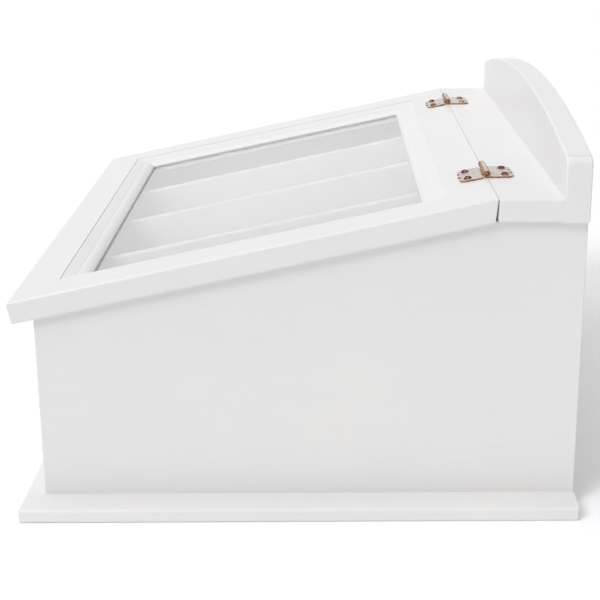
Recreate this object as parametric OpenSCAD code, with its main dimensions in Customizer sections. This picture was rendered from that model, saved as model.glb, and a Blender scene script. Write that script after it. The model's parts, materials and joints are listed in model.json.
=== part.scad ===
/*
  Desk-shaped jewellery chest: a slant-sided case with a hinged glass lid over four
  compartments, a level top shelf with an arched crest, and two drawers side by side
  in the front. +Z is up, the front faces -Y, and the origin is the centre of the
  base board's underside. Millimetres and degrees.
*/

/* [Case] */
// Width across the outer faces of the side panels
body_w = 307; // [250:0.5:420]
// Depth of the side panels, front edge to back edge
body_d = 277.5; // [220:0.5:360]
// Height of the level rear top of the side panels above the floor
body_h = 156; // [140:0.5:220]
// Thickness of each side panel
side_t = 9; // [8:0.5:14]
// Thickness of the back panel
back_t = 9; // [8:0.5:14]
// Depth of the grooves and rebates that hold the boards in the side panels
housing = 3; // [1.5:0.5:4]

/* [Base] */
// Thickness of the base board
base_t = 7.5; // [6:0.5:16]
// How far the base stands out past each side panel
base_side_out = 17.5; // [4:0.5:30]
// How far the base stands out past the front
base_front_out = 10.5; // [4:0.5:30]
// Radius worked on the base's front and side edges, top and bottom
base_edge_r = 1.8; // [1:0.1:2.8]

/* [Top shelf and crest] */
// Thickness of the level shelf behind the lid
shelf_t = 12; // [9:0.5:18]
// Depth of the shelf, seam to crest
shelf_d = 32.3; // [26:0.1:60]
// How far lid, shelf and crest stand out past each side panel
top_side_out = 4.5; // [1:0.5:12]
// Thickness of the crest board
crest_t = 13; // [9:0.5:20]
// Height of the crest above the shelf at its two ends
crest_end_h = 20; // [10:0.5:40]
// Height of the crest above the shelf at its middle
crest_mid_h = 38; // [24:0.5:70]
// Radius of the crest's two upper corners
crest_corner_r = 4; // [1:0.5:8]

/* [Lid] */
// Thickness of the lid frame
lid_t = 12; // [10:0.5:18]
// Slope of the lid
lid_slope = 12.25; // [6:0.25:18]
// How far the lid stands out past the front of the case
lid_front_out = 12; // [3:0.5:24]
// Width of each lid frame member
frame_w = 36; // [30:0.5:50]
// Width of the flat outer band of a frame member
frame_flat = 23; // [18:0.5:26]
// Step between the flat band and the sloping band
frame_step = 0.45; // [0.3:0.05:1.5]
// Radius of the rounded inner edge of the frame
frame_ovolo_r = 9; // [7:0.5:12]
// Radius that eases the outer edges of the lid
lid_ease = 1.5; // [0.5:0.1:2.5]
// Thickness of the glass pane
glass_t = 2; // [1.8:0.1:2.4]

/* [Dividers] */
// Number of dividers under the lid
divider_count = 3; // [3:1:3]
// Thickness of each divider
divider_t = 4; // [3:0.5:8]

/* [Drawers] */
// Height of the drawer bays above the base
bay_h = 56; // [40:0.5:64]
// Thickness of the floor over the drawers
floor_t = 6; // [4:0.5:9]
// Thickness of the partition between the drawers
partition_t = 9; // [6:0.5:14]
// Thickness of the fixed board over the drawers
rail_t = 12; // [9:0.5:16]
// Thickness of each drawer front
drawer_front_t = 12; // [10:0.5:16]
// Thickness of drawer sides and back
drawer_side_t = 7; // [6:0.5:10]
// How far the drawer sides stay below the top of the drawer front
drawer_side_drop = 11; // [4:0.5:20]
// Thickness of each drawer bottom
drawer_bottom_t = 3; // [2.5:0.5:4]
// Radius of the drawer knob
knob_r = 7.5; // [5:0.5:11]
// Projection of the knob from the drawer front
knob_out = 15; // [11:0.5:20]

/* [Hinges] */
// Distance of each hinge from the middle of the chest
hinge_x = 104; // [70:0.5:118]
// Length of the hinge barrel
hinge_len = 23; // [18:0.5:40]
// Reach of each leaf from the pin
leaf_reach = 14.4; // [13:0.1:18]
// Thickness of the hinge leaf
leaf_t = 0.9; // [0.6:0.1:1.2]
// Outer radius of the hinge barrel
barrel_r = 1.9; // [1.6:0.1:2.4]
// Radius of the hinge pin
pin_r = 0.9; // [0.7:0.1:1]

/* [Clearances] */
// Gap between the lid and the case under it
lid_gap = 0.25; // [0.2:0.05:1]
// Gap between the lid and the shelf at the top of the seam
seam_gap = 0.3; // [0.3:0.1:1.5]
// Extra seam gap gained down to the lid's underside
seam_flare = 1.2; // [0.4:0.1:3]
// Gap round each drawer front
drawer_gap = 0.8; // [0.4:0.1:2]
// Gap under each drawer
glide_gap = 0.3; // [0.2:0.1:1]
// Radial running clearance of the hinge pin
pin_clear = 0.06; // [0.02:0.01:0.1]
// Radial clearance of screws, dowels and panels in their seats
seat_clear = 0.05; // [0.02:0.01:0.2]
// Height of the barrel's underside above the lid and the shelf
barrel_lift = 0.2; // [0.2:0.05:0.5]

/* [Hidden] */
$fn = 64;

WHITE = [0.93, 0.93, 0.92];
BRONZE = [0.42, 0.33, 0.27];
STEEL = [0.72, 0.73, 0.74];
BEECH = [0.82, 0.70, 0.52];
GLASS = [0.80, 0.86, 0.86, 0.35];
EPS = 0.01;

// Plan of the case: the base is centred on the origin, everything is flush at the back.
base_w = body_w + 2 * base_side_out;
base_d = body_d + base_front_out;
back_y = base_d / 2;
front_y = back_y - body_d;
top_w = body_w + 2 * top_side_out;
inner_w = body_w - 2 * side_t;
inner_back_y = back_y - back_t;

// Levels
shelf_top = body_h + shelf_t;
bay_top = base_t + bay_h;
floor_top = bay_top + floor_t;

// Seam, lid and the plane of its underside
crest_front_y = back_y - crest_t;
shelf_front_y = crest_front_y - shelf_d;
lid_back_y = shelf_front_y - seam_gap;
lid_len = (lid_back_y - front_y + lid_front_out) / cos(lid_slope);
lid_w = top_w;
lid_bevel = (seam_flare + lid_t * sin(lid_slope)) / cos(lid_slope);
function under_lid(y) =
  shelf_top - lid_t / cos(lid_slope) + (y - lid_back_y) * tan(lid_slope) - lid_gap;
function under_lid_y(z) = lid_back_y + (z - under_lid(lid_back_y)) / tan(lid_slope);

// Frame moulding, measured from the outer edge inwards and down from the top
groove_w = 1.2;
bevel_drop = 1.8;
ovolo_start = 29.5;
ovolo_top = frame_step + bevel_drop;
ovolo_quirk = 0.1;
glass_top = 6.3;
rebate_start = 29;
rebate_top = glass_top - seat_clear;
glass_edge_gap = 0.4;
glass_in = rebate_start + glass_edge_gap;
bead_top = glass_top + glass_t + seat_clear;
bead_w = 6;

// Dividers
divider_pitch = (inner_w + divider_t) / (divider_count + 1);
divider_rear_gap = 0.3;

// Drawers
bay_w = (inner_w - partition_t) / 2;
bay_x = (partition_t + bay_w) / 2;
drawer_front_w = bay_w - 2 * drawer_gap;
drawer_front_h = bay_h - glide_gap - drawer_gap;
drawer_side_h = drawer_front_h - drawer_side_drop;
drawer_box_w = drawer_front_w - 1;
drawer_z = base_t + glide_gap;
drawer_back_gap = 0.5;
drawer_box_y0 = front_y + drawer_front_t;
drawer_box_y1 = inner_back_y - drawer_back_gap;
bottom_z = drawer_z + 5;
bottom_groove = 3;
knob_z = drawer_z + drawer_front_h / 2;
knob_neck_r = 3.4;
knob_foot_r = 5.2;
knob_foot_h = 2;
knob_screw_r = 1.9;
knob_screw_depth = 8;
knob_screw_head_r = 4;
knob_screw_head_h = 2;

// Hinges: the pin is the same height above the lid's top and the shelf's top
pin_h = barrel_r + barrel_lift;
pin_y = lid_back_y - pin_h * tan(lid_slope / 2);
pin_z = shelf_top + pin_h;
knuckle_gap = 0.15;
knuckle_half = hinge_len / 6;
notch = barrel_r + 0.4;
lobe_r = 4.4;
lobe_x = 7;
lobe_y = leaf_reach - lobe_r;
tip_r = 3.2;
tip_y = leaf_reach - tip_r + 0.3;
hinge_screw_r = 0.9;
hinge_screw_len = 8;
hinge_screw_head_r = 2.2;
hinge_screw_dome = 1.3;

// Dowels and base screws
dowel_r = 2.5;
shelf_dowel_x = body_w / 2 - side_t / 2;
shelf_dowel_ys = [shelf_front_y + 11, crest_front_y - 7];
shelf_dowel_up = 7;
shelf_dowel_down = 12;
crest_dowel_reach = 9;
crest_dowel_xs = [-0.32 * top_w, 0, 0.32 * top_w];
crest_dowel_z = body_h + shelf_t / 2;
base_screw_r = 1.75;
base_screw_head_r = 3.5;
base_screw_head_h = 2.4;
base_screw_len = 24;
base_screw_sink = 0.6;
base_screw_side_x = body_w / 2 - side_t / 2;
base_screw_side_ys = [front_y + 30, front_y + body_d / 2, back_y - 30];
base_screw_back_y = back_y - back_t / 2;
base_screw_back_x = inner_w / 4;

// ---------- helpers ----------

// Box given by its lowest and highest corners
module span(low, high) {
  translate(low) cube(high - low);
}

// Everything extruded along X, from a YZ outline, centred on x
module along_x(width, x = 0) {
  translate([x - width / 2, 0, 0]) rotate([90, 0, 90]) linear_extrude(width) children();
}

// Rectangle outline with rounded corners, from two crossing bars and four discs
module round_rect(low, high, r) {
  translate([low[0] + r, low[1]]) square([high[0] - low[0] - 2 * r, high[1] - low[1]]);
  translate([low[0], low[1] + r]) square([high[0] - low[0], high[1] - low[1] - 2 * r]);
  for (x = [low[0] + r, high[0] - r], y = [low[1] + r, high[1] - r])
    translate([x, y]) circle(r);
}

// From the lid's own frame (y = 0 at its rear top edge, z = 0 on its top) into the part
module on_lid() {
  translate([0, lid_back_y, shelf_top]) rotate([lid_slope, 0, 0]) children();
}

// Positions of the two hinges
module at_hinge(side) {
  translate([side * hinge_x, 0, 0]) children();
}

// ---------- case ----------

module base_screw_places() {
  for (s = [-1, 1], y = base_screw_side_ys) translate([s * base_screw_side_x, y, 0]) children();
  for (s = [-1, 1]) translate([s * base_screw_back_x, base_screw_back_y, 0]) children();
}

module base_screw(clear) {
  translate([0, 0, base_screw_sink]) {
    cylinder(h = base_screw_len, r = base_screw_r + clear);
    cylinder(h = base_screw_head_h, r1 = base_screw_head_r + clear, r2 = base_screw_r + clear);
  }
}

module base_board() {
  color(WHITE) difference() {
    intersection() {
      along_x(base_w)
        round_rect([-back_y, 0], [back_y + base_edge_r * 3, base_t], base_edge_r);
      rotate([90, 0, 0]) translate([0, 0, -back_y]) linear_extrude(base_d)
        round_rect([-base_w / 2, 0], [base_w / 2, base_t], base_edge_r);
      linear_extrude(base_t) round_rect([-base_w / 2, -back_y], [base_w / 2, back_y], base_edge_r);
    }
    base_screw_places() {
      base_screw(seat_clear);
      translate([0, 0, -EPS]) cylinder(h = base_screw_sink + 2 * EPS, r = base_screw_head_r + seat_clear);
    }
  }
}

// Side outline from the front edge to the back edge; its sloping top lies under the lid
module case_outline(y0, y1, top_gap = 0) {
  knee = under_lid_y(body_h);
  polygon(y1 > knee
    ? [[y0, base_t], [y1, base_t], [y1, body_h - top_gap],
       [knee, body_h - top_gap], [y0, under_lid(y0) - top_gap]]
    : [[y0, base_t], [y1, base_t], [y1, under_lid(y1) - top_gap], [y0, under_lid(y0) - top_gap]]);
}

module side_panel(side) {
  inner_x = side * inner_w / 2;
  color(WHITE) difference() {
    along_x(side_t, side * (body_w - side_t) / 2) case_outline(front_y, back_y);
    // groove for the compartment floor
    span([inner_x - housing, front_y + rail_t, bay_top - seat_clear],
         [inner_x + housing, back_y - back_t, floor_top + seat_clear]);
    // rebate for the back panel
    span([inner_x - housing, inner_back_y, base_t - EPS],
         [inner_x + housing, back_y + EPS, body_h + EPS]);
    base_screw_places() base_screw(seat_clear);
    for (y = shelf_dowel_ys)
      translate([side * shelf_dowel_x, y, body_h - shelf_dowel_down - 1])
        cylinder(h = shelf_dowel_down + 2, r = dowel_r + seat_clear);
  }
}

module back_panel() {
  color(WHITE) difference() {
    span([-inner_w / 2 - housing, inner_back_y, base_t], [inner_w / 2 + housing, back_y, body_h]);
    base_screw_places() base_screw(seat_clear);
  }
}

module front_rail() {
  color(WHITE) along_x(inner_w) intersection() {
    case_outline(front_y, front_y + rail_t);
    translate([front_y, bay_top]) square([rail_t, body_h]);
  }
}

module compartment_floor() {
  color(WHITE) span([-inner_w / 2 - housing, front_y + rail_t, bay_top],
                    [inner_w / 2 + housing, inner_back_y, floor_top]);
}

module drawer_partition() {
  color(WHITE) span([-partition_t / 2, front_y, base_t], [partition_t / 2, inner_back_y, bay_top]);
}

module divider(index) {
  color(WHITE) along_x(divider_t, index * divider_pitch) intersection() {
    case_outline(front_y + rail_t, inner_back_y, divider_rear_gap);
    translate([front_y, floor_top]) square([body_d, body_h]);
  }
}

// ---------- shelf and crest ----------

module dowel(length) {
  cylinder(h = length, r = dowel_r);
}

module top_shelf() {
  color(WHITE) difference() {
    span([-top_w / 2, shelf_front_y, body_h], [top_w / 2, crest_front_y, shelf_top]);
    for (s = [-1, 1], y = shelf_dowel_ys)
      translate([s * shelf_dowel_x, y, body_h - EPS]) cylinder(h = shelf_dowel_up + 1, r = dowel_r + seat_clear);
    crest_dowel_seats();
    for (s = [-1, 1]) at_hinge(s) shelf_hinge_screw_places() hinge_screw_shank(0);
  }
}

module crest_dowel_seats() {
  for (x = crest_dowel_xs)
    translate([x, crest_front_y - crest_dowel_reach - 1, crest_dowel_z]) rotate([-90, 0, 0])
      cylinder(h = 2 * crest_dowel_reach + 2, r = dowel_r + seat_clear);
}

module crest_board() {
  rise = crest_mid_h - crest_end_h;
  arc_r = (pow(top_w / 2, 2) + pow(rise, 2)) / (2 * rise);
  color(WHITE) difference() {
    translate([0, back_y, shelf_top]) rotate([90, 0, 0]) linear_extrude(crest_t) intersection() {
      translate([-top_w / 2, -shelf_t]) square([top_w, crest_mid_h + shelf_t]);
      translate([0, crest_mid_h - arc_r]) circle(arc_r, $fn = 360);
      crest_corners();
    }
    crest_dowel_seats();
  }
}

// Outline that rounds the crest's upper corners
module crest_corners() {
  drop = crest_corner_r * 0.85;
  translate([-top_w / 2, -shelf_t]) square([top_w, crest_end_h + shelf_t - drop]);
  translate([-top_w / 2 + crest_corner_r, -shelf_t])
    square([top_w - 2 * crest_corner_r, crest_mid_h + shelf_t]);
  for (s = [-1, 1])
    translate([s * (top_w / 2 - crest_corner_r), crest_end_h - drop]) circle(crest_corner_r);
}

module shelf_dowels() {
  color(BEECH) for (s = [-1, 1], y = shelf_dowel_ys)
    translate([s * shelf_dowel_x, y, body_h - shelf_dowel_down]) dowel(shelf_dowel_down + shelf_dowel_up);
}

module crest_dowels() {
  color(BEECH) for (x = crest_dowel_xs)
    translate([x, crest_front_y - crest_dowel_reach, crest_dowel_z]) rotate([-90, 0, 0])
      dowel(2 * crest_dowel_reach);
}

module base_screws() {
  color(STEEL) base_screw_places() base_screw(0);
}

// ---------- lid ----------

// Section of a frame member: x runs inwards from the outer edge, y up to the top at 0
module moulding() {
  difference() {
    union() {
      round_rect([0, -lid_t], [frame_w, 0], lid_ease);
      translate([frame_w / 2, -lid_t]) square([frame_w / 2, lid_t]);
    }
    // step and sloping band
    polygon([[frame_flat, 1], [frame_flat, -frame_step], [frame_flat + groove_w, -frame_step],
             [ovolo_start, -ovolo_top], [frame_w + 1, -ovolo_top], [frame_w + 1, 1]]);
    // rounded inner edge
    difference() {
      translate([ovolo_start, -rebate_top]) square([frame_w, rebate_top]);
      translate([ovolo_start, -ovolo_top - ovolo_quirk - frame_ovolo_r]) circle(frame_ovolo_r);
    }
    translate([rebate_start, -lid_t - 1]) square([frame_w, lid_t + 1 - rebate_top]);
  }
}

// Mitred outline of one member of a frame w wide and d deep, m across, on its low-y edge
module mitred(w, d, m) {
  translate([0, 0, -lid_t - 1]) linear_extrude(lid_t + 2)
    polygon([[-w / 2, -d], [w / 2, -d], [w / 2 - m, -d + m], [-w / 2 + m, -d + m]]);
}

// Rear end bevel, so that the seam opens towards the lid's underside
module lid_rear_bevel() {
  along_x(lid_w + 2)
    polygon([[0, EPS], [0, 0], [-lid_bevel, -lid_t], [-lid_bevel, -lid_t - 1], [2, -lid_t - 1], [2, EPS]]);
}

module lid_rail(front) {
  color(WHITE) on_lid() difference() {
    if (front) {
      intersection() {
        translate([0, -lid_len, 0]) along_x(lid_w) moulding();
        mitred(lid_w, lid_len, frame_w);
      }
    } else {
      translate([0, -lid_len, 0]) mirror([0, 1, 0]) intersection() {
        translate([0, -lid_len, 0]) along_x(lid_w) moulding();
        mitred(lid_w, lid_len, frame_w);
      }
    }
    lid_rear_bevel();
    if (!front) {
      for (s = [-1, 1]) at_hinge(s) lid_hinge_screw_places() hinge_screw_shank(0);
    }
  }
}

module lid_stile(side) {
  color(WHITE) on_lid() difference() {
    translate([side * lid_w / 2, -lid_len / 2, 0]) rotate([0, 0, side * 90])
      intersection() {
        along_x(lid_len) moulding();
        translate([0, lid_w, 0]) mitred(lid_len, lid_w, frame_w);
      }
    lid_rear_bevel();
  }
}

module glass_pane() {
  color(GLASS) on_lid()
    span([-lid_w / 2 + glass_in, -lid_len + glass_in, -glass_top - glass_t],
         [lid_w / 2 - glass_in, -glass_in, -glass_top]);
}

// Bead under the glass along the front or back
module glass_bead_x(front) {
  y0 = front ? -lid_len + rebate_start + seat_clear : -rebate_start - seat_clear - bead_w;
  x1 = lid_w / 2 - rebate_start - seat_clear;
  color(WHITE) on_lid() span([-x1, y0, -lid_t], [x1, y0 + bead_w, -bead_top]);
}

// Bead under the glass along one side, between the other two
module glass_bead_y(side) {
  x0 = side * (lid_w / 2 - rebate_start - seat_clear - bead_w / 2);
  inset = rebate_start + seat_clear * 2 + bead_w;
  color(WHITE) on_lid() span([x0 - bead_w / 2, -lid_len + inset, -lid_t], [x0 + bead_w / 2, -inset, -bead_top]);
}

// ---------- hinges ----------

// Leaf outline: x across, y outwards from the pin; three lobes at the outer end
module leaf_outline() {
  difference() {
    union() {
      translate([-hinge_len / 2, 0]) square([hinge_len, lobe_y - 2]);
      translate([-lobe_x - 1, 0]) square([2 * lobe_x + 2, lobe_y]);
      for (s = [-1, 1]) translate([s * lobe_x, lobe_y]) circle(lobe_r);
      translate([0, tip_y]) circle(tip_r);
    }
    for (s = [-1, 1]) translate([s * lobe_x, lobe_y]) circle(hinge_screw_r + seat_clear);
  }
}

// Leaf with its knuckles about the pin at the origin; plate on z = -pin_h, reaching +y
module hinge_leaf(centre) {
  color(BRONZE) difference() {
    union() {
      difference() {
        translate([0, 0, -pin_h]) linear_extrude(leaf_t) leaf_outline();
        if (centre) {
          for (s = [-1, 1]) translate([s * (knuckle_half + hinge_len / 2), 0, -pin_h])
            cube([hinge_len, 2 * notch, 4 * leaf_t], center = true);
        } else {
          translate([0, 0, -pin_h])
            cube([2 * (knuckle_half + knuckle_gap), 2 * notch, 4 * leaf_t], center = true);
        }
      }
      intersection() {
        rotate([0, 90, 0]) translate([0, 0, -hinge_len / 2]) cylinder(h = hinge_len, r = barrel_r);
        if (centre) {
          cube([2 * knuckle_half, 4 * barrel_r, 4 * barrel_r], center = true);
        } else {
          for (s = [-1, 1]) translate([s * (knuckle_half + knuckle_gap + hinge_len / 2), 0, 0])
            cube([hinge_len, 4 * barrel_r, 4 * barrel_r], center = true);
        }
      }
    }
    rotate([0, 90, 0]) translate([0, 0, -hinge_len / 2 - 1])
      cylinder(h = hinge_len + 2, r = pin_r + pin_clear);
  }
}

module hinge_lid_leaf(side) {
  at_hinge(side) translate([0, pin_y, pin_z]) rotate([lid_slope, 0, 0]) mirror([0, 1, 0])
    hinge_leaf(true);
}

module hinge_shelf_leaf(side) {
  at_hinge(side) translate([0, pin_y, pin_z]) hinge_leaf(false);
}

module hinge_pin(side) {
  color(BRONZE) at_hinge(side) translate([0, pin_y, pin_z]) rotate([0, 90, 0])
    translate([0, 0, -hinge_len / 2]) cylinder(h = hinge_len, r = pin_r);
}

// Screw places in the lid's own frame and in the part's frame
module lid_hinge_screw_places() {
  for (s = [-1, 1]) translate([s * lobe_x, pin_h * tan(lid_slope / 2) - lobe_y, 0]) children();
}

module shelf_hinge_screw_places() {
  for (s = [-1, 1]) translate([s * lobe_x, pin_y + lobe_y, shelf_top]) children();
}

module hinge_screw_shank(top) {
  translate([0, 0, -hinge_screw_len]) cylinder(h = hinge_screw_len + top, r = hinge_screw_r);
}

module hinge_screw() {
  dome_r = (pow(hinge_screw_head_r, 2) + pow(hinge_screw_dome, 2)) / (2 * hinge_screw_dome);
  hinge_screw_shank(leaf_t);
  translate([0, 0, leaf_t]) intersection() {
    cylinder(h = hinge_screw_dome + 1, r = hinge_screw_head_r);
    translate([0, 0, hinge_screw_dome - dome_r]) sphere(dome_r);
  }
}

module lid_hinge_screws() {
  color(BRONZE) on_lid() for (s = [-1, 1]) at_hinge(s) lid_hinge_screw_places() hinge_screw();
}

module shelf_hinge_screws() {
  color(BRONZE) for (s = [-1, 1]) at_hinge(s) shelf_hinge_screw_places() hinge_screw();
}

// ---------- drawers ----------

// Space of the drawer bottom, which the grooves are cut for
module drawer_bottom_space(side, clear) {
  half = drawer_box_w / 2 - drawer_side_t + bottom_groove - 0.2 + clear;
  span([side * bay_x - half, drawer_box_y0 - bottom_groove + 0.2 - clear, bottom_z - clear],
       [side * bay_x + half, drawer_box_y1 - EPS + clear, bottom_z + drawer_bottom_t + clear]);
}

module drawer_front(side) {
  color(WHITE) difference() {
    span([side * bay_x - drawer_front_w / 2, front_y, drawer_z],
         [side * bay_x + drawer_front_w / 2, front_y + drawer_front_t, drawer_z + drawer_front_h]);
    drawer_bottom_space(side, 0.2);
    translate([side * bay_x, front_y - 1, knob_z]) rotate([-90, 0, 0])
      cylinder(h = drawer_front_t + 2, r = knob_screw_r + seat_clear);
  }
}

module drawer_side(side, outer) {
  x0 = side * bay_x + side * outer * (drawer_box_w - drawer_side_t) / 2;
  color(WHITE) difference() {
    span([x0 - drawer_side_t / 2, drawer_box_y0, drawer_z],
         [x0 + drawer_side_t / 2, drawer_box_y1, drawer_z + drawer_side_h]);
    drawer_bottom_space(side, 0.2);
  }
}

module drawer_back(side) {
  half = drawer_box_w / 2 - drawer_side_t;
  color(WHITE) span([side * bay_x - half, drawer_box_y1 - drawer_side_t, bottom_z + drawer_bottom_t],
                    [side * bay_x + half, drawer_box_y1, drawer_z + drawer_side_h - 2]);
}

module drawer_bottom(side) {
  color(WHITE) drawer_bottom_space(side, 0);
}

// Turned knob on the drawer front, axis along -Y
module drawer_knob(side) {
  cap_h = 6.5;
  cap_y = knob_out - cap_h;
  cap_round = 2.4;
  color(BRONZE) translate([side * bay_x, front_y, knob_z]) rotate([90, 0, 0]) difference() {
    rotate_extrude() {
      square([knob_foot_r, knob_foot_h]);
      square([knob_neck_r, cap_y + 1]);
      polygon([[0, cap_y - 1.5], [knob_neck_r, cap_y - 1.5], [knob_r - 0.6, cap_y + 1.2],
               [knob_r, cap_y + 2.2], [knob_r, knob_out - cap_round], [0, knob_out - cap_round]]);
      square([knob_r - cap_round, knob_out]);
      translate([knob_r - cap_round, knob_out - cap_round]) circle(cap_round);
    }
    translate([0, 0, -1]) cylinder(h = knob_screw_depth + 1.5, r = knob_screw_r + seat_clear);
  }
}

module drawer_knob_screw(side) {
  color(STEEL) translate([side * bay_x, front_y + drawer_front_t, knob_z]) rotate([90, 0, 0]) {
    cylinder(h = drawer_front_t + knob_screw_depth, r = knob_screw_r);
    translate([0, 0, -knob_screw_head_h]) cylinder(h = knob_screw_head_h, r = knob_screw_head_r);
  }
}

// ---------- nodes ----------

base_board();
side_panel(-1);  // left_side_panel
side_panel(1);  // right_side_panel
back_panel();
front_rail();
drawer_partition();
compartment_floor();
divider(-1);  // left_divider
divider(0);  // centre_divider
divider(1);  // right_divider
top_shelf();
crest_board();
shelf_dowels();
crest_dowels();
base_screws();
lid_rail(true);  // lid_front_rail
lid_rail(false);  // lid_back_rail
lid_stile(-1);  // lid_left_stile
lid_stile(1);  // lid_right_stile
glass_pane();
glass_bead_x(true);  // glass_bead_front
glass_bead_x(false);  // glass_bead_back
glass_bead_y(-1);  // glass_bead_left
glass_bead_y(1);  // glass_bead_right
hinge_lid_leaf(-1);  // left_hinge_lid_leaf
hinge_shelf_leaf(-1);  // left_hinge_shelf_leaf
hinge_pin(-1);  // left_hinge_pin
hinge_lid_leaf(1);  // right_hinge_lid_leaf
hinge_shelf_leaf(1);  // right_hinge_shelf_leaf
hinge_pin(1);  // right_hinge_pin
lid_hinge_screws();
shelf_hinge_screws();
drawer_front(-1);  // left_drawer_front
drawer_side(-1, 1);  // left_drawer_outer_side
drawer_side(-1, -1);  // left_drawer_inner_side
drawer_back(-1);  // left_drawer_back
drawer_bottom(-1);  // left_drawer_bottom
drawer_knob(-1);  // left_drawer_knob
drawer_knob_screw(-1);  // left_drawer_knob_screw
drawer_front(1);  // right_drawer_front
drawer_side(1, 1);  // right_drawer_outer_side
drawer_side(1, -1);  // right_drawer_inner_side
drawer_back(1);  // right_drawer_back
drawer_bottom(1);  // right_drawer_bottom
drawer_knob(1);  // right_drawer_knob
drawer_knob_screw(1);  // right_drawer_knob_screw
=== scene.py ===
"""Looks of a desk-shaped jewellery chest: painted boards, glazed lid, bronze hinges and knobs.

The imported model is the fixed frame. Every piece is made from it or placed by it, in metres.
"""

import json
import math

import bmesh
import bpy
from mathutils import Matrix, Vector


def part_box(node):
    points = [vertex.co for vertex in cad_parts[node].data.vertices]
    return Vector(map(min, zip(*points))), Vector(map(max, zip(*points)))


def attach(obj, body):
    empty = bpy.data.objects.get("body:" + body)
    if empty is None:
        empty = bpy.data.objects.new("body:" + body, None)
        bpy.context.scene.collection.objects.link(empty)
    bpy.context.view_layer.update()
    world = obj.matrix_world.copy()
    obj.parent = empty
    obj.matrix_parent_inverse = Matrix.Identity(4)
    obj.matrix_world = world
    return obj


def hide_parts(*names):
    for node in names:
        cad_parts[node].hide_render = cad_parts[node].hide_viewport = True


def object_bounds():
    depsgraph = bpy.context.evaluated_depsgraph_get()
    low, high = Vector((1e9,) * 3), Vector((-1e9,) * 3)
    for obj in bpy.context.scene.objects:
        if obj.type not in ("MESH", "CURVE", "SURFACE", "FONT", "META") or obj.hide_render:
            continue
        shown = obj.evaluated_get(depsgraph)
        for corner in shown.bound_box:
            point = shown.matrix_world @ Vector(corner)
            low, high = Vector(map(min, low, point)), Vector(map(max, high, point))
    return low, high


bl_info = {
    "name": "Jewellery Chest",
    "version": (1, 0, 0),
    "blender": (4, 5, 0),
    "location": "View3D > Sidebar > Jewellery Chest",
    "description": "Builds a white jewellery chest with a glass lid and drawers",
    "category": "Add Mesh",
}

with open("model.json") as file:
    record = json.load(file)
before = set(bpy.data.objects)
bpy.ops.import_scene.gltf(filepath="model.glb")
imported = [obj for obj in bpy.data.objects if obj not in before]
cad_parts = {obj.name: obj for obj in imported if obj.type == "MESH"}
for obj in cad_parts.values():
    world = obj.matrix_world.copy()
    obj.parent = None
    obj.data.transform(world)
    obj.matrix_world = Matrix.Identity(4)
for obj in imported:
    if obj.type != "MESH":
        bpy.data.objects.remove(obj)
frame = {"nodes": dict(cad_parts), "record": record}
CAD_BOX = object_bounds()
NODES = frame["nodes"]
BODY_OF = {
    node: body
    for body, members in frame["record"]["behaviour"]["bodies"].items()
    for node in members
}
SIDES = ("left", "right")
UP = Vector((0, 0, 1))
MM = 0.001

# Distances and angles below which points, planes and faces count as the same.
SAME_POINT = 0.001 * MM
SAME_HEIGHT = 0.01 * MM
ON_PLANE = 0.05 * MM
SAME_FACE = math.radians(0.5)

# Angles between faces from which an edge is eased, and from which it is shaded as sharp.
EASED_FROM = math.radians(28)
SHARP_FROM = math.radians(35)

# Sides of a turned piece.
TURNED_SIDES = 32
KNOB_SIDES = 64


def lid_slope():
    """The lid's slope, from the glass pane's top corners."""
    corners = [v.co for v in NODES["glass_pane"].data.vertices]
    front = min(corners, key=lambda c: c.y)
    rear = max(corners, key=lambda c: c.z)
    return math.atan2(rear.z - front.z, rear.y - front.y)


# ---------------------------------------------------------------- user settings


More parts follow.
